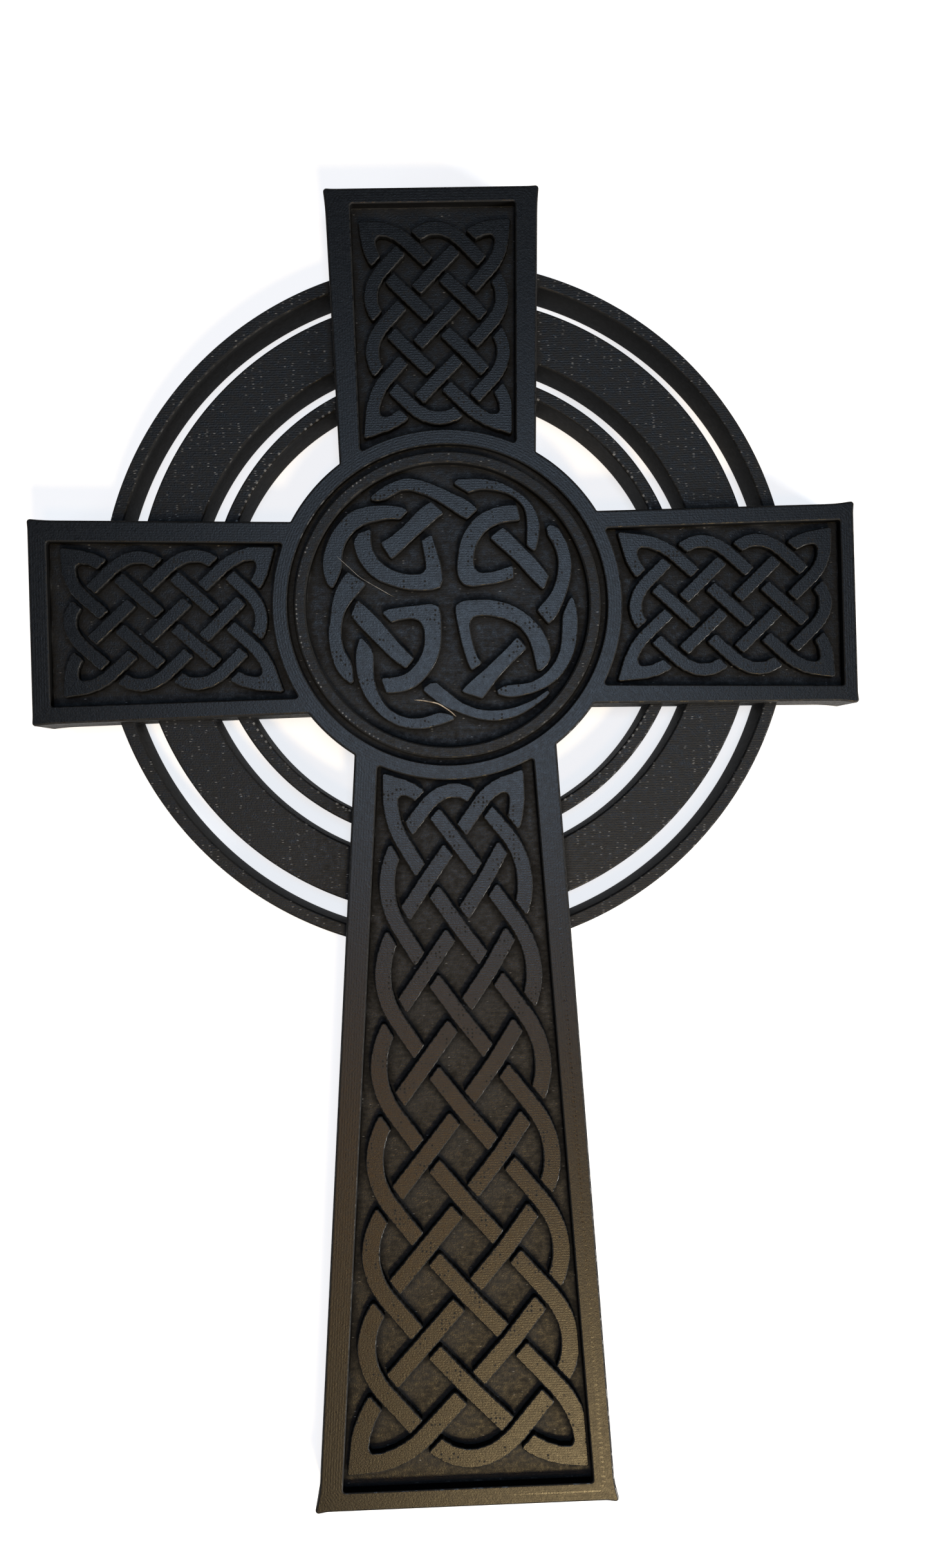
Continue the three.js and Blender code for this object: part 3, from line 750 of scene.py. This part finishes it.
def blackPlastic():
    # printed plastic: level lines on sunk faces, lines along the frame, layers on walls, glints of painted
    # highlight, pits of painted shade, and painted shade on the walls of recesses
    p = plastic
    material, wire = emptyMaterial("blackPlastic")
    place = wire.node("ShaderNodeTexCoord", output=3)
    x, y, z = (part * (1 / mm) for part in place.parts())
    xx, yy = x - float(middle[0]), y - float(middle[1])
    radius, angle = wire.maths("SQRT", xx * xx + yy * yy), wire.maths("ARCTAN2", yy, xx)
    facing = wire.node("ShaderNodeNewGeometry", output=1).parts()[2]
    rail = wire.node("ShaderNodeAttribute", {"attribute_name": "rail"}, output=2)  # distance from the outline

    def mask(value, name):
        return value.between(*p["masks"][name])

    def strip(value, name):
        return value.within(*p["strips"][name])

    def stretched(factors):
        # the place in millimetres, each number times its own factor
        return wire.node("ShaderNodeVectorMath", {"operation": "MULTIPLY"}, {0: place, 1: [f / mm for f in factors]})

    def noise(name):
        scale, detail, rough, *factors = p["noises"][name]
        return wire.node("ShaderNodeTexNoise", None, {
            "Vector": stretched(factors or (1, 1, 1)), "Scale": scale, "Detail": detail, "Roughness": rough,
        })

    def spots(cell, spread):
        # distance to the nearest of many points, and a random number for that point
        near = wire.node("ShaderNodeTexVoronoi", {"voronoi_dimensions": "2D", "feature": "F1"}, {
            "Vector": stretched((1 / cell[0], 1 / cell[1], 0)), "Scale": 1.0, "Randomness": spread,
        })
        own = Wire(wire.tree, near.socket.node.outputs["Color"])
        return near, wire.node("ShaderNodeSeparateColor", inputs={0: own})

    level, frameTop = mask(facing, "level"), mask(z, "frameTop")
    ringTop = mask(z, "ringTop") * (1 - mask(z, "aboveRing"))
    rim = strip(radius, "rim")
    smooth = mask(z, "aboveGround") * (1 - rim)  # strands and frame are smooth
    coarse = 1 - smooth  # grounds, ring and rim are rough
    strandTop = smooth * (1 - frameTop)
    grain, patch, mottle = noise("grain") - 0.5, noise("patch"), noise("mottle")

    lines = (yy + noise("drift") * p["lineDrift"]).wave(p["linePitch"])
    offDisc = mask(radius, "offDisc")
    frameLines = offDisc * rail.wave(p["railPitch"]) + (1 - offDisc) * radius.wave(p["railPitch"])
    sunk = lines * (p["groundLines"] + ringTop * p["ringLines"]) + grain * p["groundGrain"]
    sunk = sunk + (noise("streak") - 0.5) * p["streaks"]
    upper = (frameTop * frameLines + (1 - frameTop) * lines) * p["topLines"] + grain * p["topGrain"]
    wall = z.wave(p["layerPitch"]) * p["layers"] + grain * p["wallGrain"]
    relief = level * (coarse * sunk + smooth * upper) + (1 - level) * wall

    # ends of print lines, in rows and along round edges, with their sparkle painted into the colour as pale
    # highlights
    near, pick = spots(p["glintCell"], p["glintSpread"])
    glint = mask(pick + ringTop * p["ringPicks"], "glintPick") * (1 - mask(near, "glintSize")) * coarse
    glint = glint * mask(patch + ringTop * p["ringPatches"], "glintPatch")
    glintBeads = mask((angle * p["glintBeadCircle"]).wave(p["glintBeadPitch"]), "glintBeadWave") * mask(noise("glintBeads"), "glintBeads")
    rimGlintBeads = strip(radius, "rimGlintBeads") * rim * (1 - mask(xx, "glintBeadSide"))
    glint = (glint + glintBeads * (rimGlintBeads + strip(radius, "ringGlintBeads") * ringTop)) * level

    # small holes in rows between the print lines of the strands; no hole is cut, and their dark is painted shade
    near, pick = spots(p["pitCell"], p["pitSpread"])
    pitShade = (1 - mask(near, "pitSize")) * mask(pick, "pitPick") * mask(patch, "pitPatch") * level * strandTop

    # short ticks across the frame, and flat shiny streaks on the sunk faces
    ticks = strip(rail, "ticks") * mask(yy.wave(p["tickPitch"]), "tickWave") * frameTop * level
    ticks = ticks * mask(x, "tickSide") * (1 - mask(yy, "tickEnd"))
    worn = mask(noise("worn"), "worn")

    # dull in the corners at the foot of strands, and in stretches of the softened edges
    free = wire.node("ShaderNodeAmbientOcclusion", {"samples": p["cornerRays"], "only_local": True},
                     {"Distance": p["cornerReach"]}, 1)
    softEdge = mask(facing, "edgeFrom") * (1 - mask(facing, "edgeTo")) * (1 - mask(noise("edges"), "edges"))
    dull = (1 - mask(free, "open")) * level * p["cornerDull"] + softEdge * p["edgeDull"]

    colour = coarse.blend(p["top"], p["ground"])
    colour = (mask(mottle, "mottle") * (coarse * p["wornGround"] + p["wornTop"])).blend(colour, p["worn"])
    # pits: near-black painted shade
    colour = (pitShade * p["cover"]).blend(colour, p["pitShade"])
    # glints: pale grey painted highlights
    colour = (glint * p["cover"]).blend(colour, p["glint"])
    uneven = mottle - 0.5
    rough = p["roughGround"] - p["roughTop"] - worn * p["shine"] + uneven * p["mottleGround"]
    rough = p["roughTop"] + coarse * rough + strandTop * (p["roughStrand"] - p["roughTop"])
    rough = rough + uneven * p["mottleAll"] + (1 - level) * p["roughWall"] + dull
    rough = rough - glint * p["roughGlint"] + pitShade * p["roughPit"] - ticks * p["roughTick"]

    bump = wire.node("ShaderNodeBump", None, {"Strength": 1.0, "Distance": p["depth"], "Height": relief})
    shader = wire.node("ShaderNodeBsdfPrincipled", None, {
        "Base Color": colour, "Roughness": rough, "Normal": bump,
        "IOR": p["ior"], "Specular IOR Level": p["specular"],
    })
    # near-black dull layer mixed onto the walls of recesses: painted shade
    wallShade = wire.node("ShaderNodeBsdfPrincipled", None, {
        "Base Color": p["pitShade"], "Roughness": p["mattRough"],
        "IOR": p["ior"], "Specular IOR Level": p["mattSpecular"],
    })
    inside = (1 - mask(facing, "wall")) * mask(rail, "offOutline")  # walls of slots, wells and strands, which get painted shade
    both = wire.node("ShaderNodeMixShader", None, {0: inside * p["wallShadeShare"], 1: shader, 2: wallShade})
    wire.node("ShaderNodeOutputMaterial", None, {"Surface": both})
    return material


outline = bodyOutline()
shell = Shell()
buildBody(shell, outline)
buildRing(shell)
cross = toObject(shell.mesh("printed_cross", fromOutline(outline)), blackPlastic())
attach(cross, "root")
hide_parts("celtic_cross")
print("cross:", len(cross.data.polygons), "faces")

# two stray pale hairs that lie on the knot: points (x, y, z) and thickness
hairs = {
    "fine_hair": {
        "radius": 0.04, "sides": 6, "step": 0.5, "pale": (0.42, 0.40, 0.37, 1), "dull": (0.16, 0.15, 0.14, 1),
        "path": ((-19.0, 8.8, 9.74), (-16.9, 6.8, 9.76), (-15.2, 5.2, 9.74), (-13.6, 4.15, 9.72),
                 (-11.6, 3.0, 9.3), (-9.9, 2.1, 8.45), (-9.3, 1.8, 8.22)),
    },
    "curled_thread": {
        "radius": 0.11, "sides": 8, "step": 0.35, "pale": (0.72, 0.63, 0.52, 1), "dull": (0.40, 0.33, 0.26, 1),
        "path": ((-6.4, -16.3, 8.28), (-5.0, -16.45, 8.9), (-3.7, -16.75, 9.6), (-2.2, -17.15, 9.8),
                 (-0.9, -17.95, 9.8), (0.1, -18.7, 9.8), (0.9, -19.5, 9.78)),
    },
}
fibre = {
    "taper": 6, "tip": 0.02, "scale": 700.0, "detail": 2.0, "spots": (0.4, 0.6), "rough": 0.35, "roughSpots": 0.3,
}


def hairMesh(name, hair):
    # circle carried along the path; its radius falls to the ends by the root of one less a high power
    line = smoothPath(hair["path"], hair["step"])
    d = unit(np.gradient(line, axis=0))
    side = unit(np.cross(d, [0, 0, 1.0]))
    up = np.cross(side, d)
    t = np.linspace(0, 1, len(line))
    radius = hair["radius"] * np.sqrt(np.maximum(1 - (2 * t - 1) ** fibre["taper"], fibre["tip"]))
    a = np.linspace(0, 2 * math.pi, hair["sides"], endpoint=False)
    circle = np.cos(a)[None, :, None] * side[:, None] + np.sin(a)[None, :, None] * up[:, None]
    tube = Shell()
    ids = tube.add(line[:, None] + circle * radius[:, None, None])
    tube.strip(ids, closed=False, across=True)
    tube.cap(ids[0])
    tube.cap(ids[-1, ::-1])
    return tube.mesh(name)


def paleHair(name, hair):
    # pale fibre, duller in places along its length
    material, wire = emptyMaterial(name)
    place = wire.node("ShaderNodeTexCoord", output=3)
    spots = wire.node("ShaderNodeTexNoise", None, {
        "Vector": place, "Scale": fibre["scale"], "Detail": fibre["detail"],
    })
    shader = wire.node("ShaderNodeBsdfPrincipled", None, {
        "Base Color": spots.between(*fibre["spots"]).blend(hair["pale"], hair["dull"]),
        "Roughness": spots * fibre["roughSpots"] + fibre["rough"],
    })
    wire.node("ShaderNodeOutputMaterial", None, {"Surface": shader})
    return material


for name, hair in hairs.items():
    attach(toObject(hairMesh(name, hair), paleHair(name, hair)), "root")
print("hairs:", len(hairs))

# floor, light and camera
studio = {
    "floor": (0.93, 0.93, 0.94, 1), "floorGlow": 0.75, "floorRough": 0.9, "floorHalf": 1.5, "floorHeight": -0.00002,
    "world": (0.80, 0.90, 1.0, 1), "worldStrength": 0.03,
    # name, place, aim, size, power, colour
    "lamps": (
        ("lampKey", (-0.03, -0.37, 1.00), (0.0, 0.0, 0.0), 0.18, 0.72, (1.0, 0.54, 0.20)),
        ("lampWarm", (0.17, -0.71, 0.86), (0.0, -0.08, 0.0), 0.18, 4.2, (1.0, 0.74, 0.37)),
        ("lampAbove", (0.06, 0.12, 1.20), (0.0, 0.0, 0.0), 0.40, 2.9, (0.60, 0.77, 1.0)),
        ("lampLow", (1.00, -0.64, 0.34), (0.0, 0.0, 0.0), 0.40, 18.0, (1.0, 0.96, 0.90)),
        ("lampLeft", (-1.00, -0.30, 0.30), (0.0, 0.0, 0.0), 0.60, 2.0, (0.85, 0.93, 1.0)),
    ),
}
# place in millimetres, turn in degrees, focal length and height in dots of the picture
view = {
    "place": (-2.735, -31.018, 211.637), "turn": (0.0564, -1.383, -1.585), "focal": 1800.0, "tall": 2435.0,
    "sensor": 36.0, "nearest": 0.005,
}


def buildFloor():
    # flat square just under the back, as a two by two grid
    side = np.array([-1, 1]) * studio["floorHalf"]
    height = np.full((2, 2), studio["floorHeight"])
    points = np.stack([*np.meshgrid(side, side, indexing="ij"), height], -1).reshape(-1, 3)
    mesh = bpy.data.meshes.new("floor")
    mesh.from_pydata(points.tolist(), [], [[0, 2, 3, 1]])
    pale = bpy.data.materials.new("paleFloor")
    pale.use_nodes = True
    surface = pale.node_tree.nodes["Principled BSDF"]
    surface.inputs["Base Color"].default_value = studio["floor"]
    surface.inputs["Roughness"].default_value = studio["floorRough"]
    surface.inputs["Emission Color"].default_value = studio["floor"]
    surface.inputs["Emission Strength"].default_value = studio["floorGlow"]
    toObject(mesh, pale)


def buildLights():
    # a faint even sky, and round lamps that each face their aim
    world = bpy.data.worlds.new("studio")
    bpy.context.scene.world = world
    bpy.context.scene.view_settings.view_transform = "Standard"
    world.use_nodes = True
    background = world.node_tree.nodes["Background"]
    background.inputs["Color"].default_value = studio["world"]
    background.inputs["Strength"].default_value = studio["worldStrength"]
    for name, place, target, size, power, colour in studio["lamps"]:
        lamp = bpy.data.lights.new(name, "AREA")
        lamp.shape, lamp.size, lamp.energy, lamp.color = "DISK", size, power, colour
        made = bpy.data.objects.new(name, lamp)
        made.location = place
        made.rotation_euler = (Vector(target) - Vector(place)).to_track_quat("-Z", "Y").to_euler()
        bpy.context.scene.collection.objects.link(made)


def buildCamera():
    # looks straight down on the cross, turned a little about each axis
    turn = Vector(math.radians(v) for v in view["turn"])
    facing = Quaternion(turn.normalized(), turn.length).to_matrix() @ Matrix.Diagonal((1, -1, -1))
    axes = Matrix((facing[0], -facing[1], -facing[2])).transposed()
    lens = bpy.data.cameras.new("camera")
    lens.sensor_width = view["sensor"]
    lens.lens = view["focal"] / view["tall"] * lens.sensor_width
    lens.clip_start = view["nearest"]
    camera = bpy.data.objects.new("camera", lens)
    camera.matrix_world = Matrix.Translation((np.array(view["place"]) + middle) * mm) @ axes.to_4x4()
    bpy.context.scene.collection.objects.link(camera)
    bpy.context.scene.camera = camera


buildFloor()
buildLights()
buildCamera()
print("stage: floor, lights and camera")
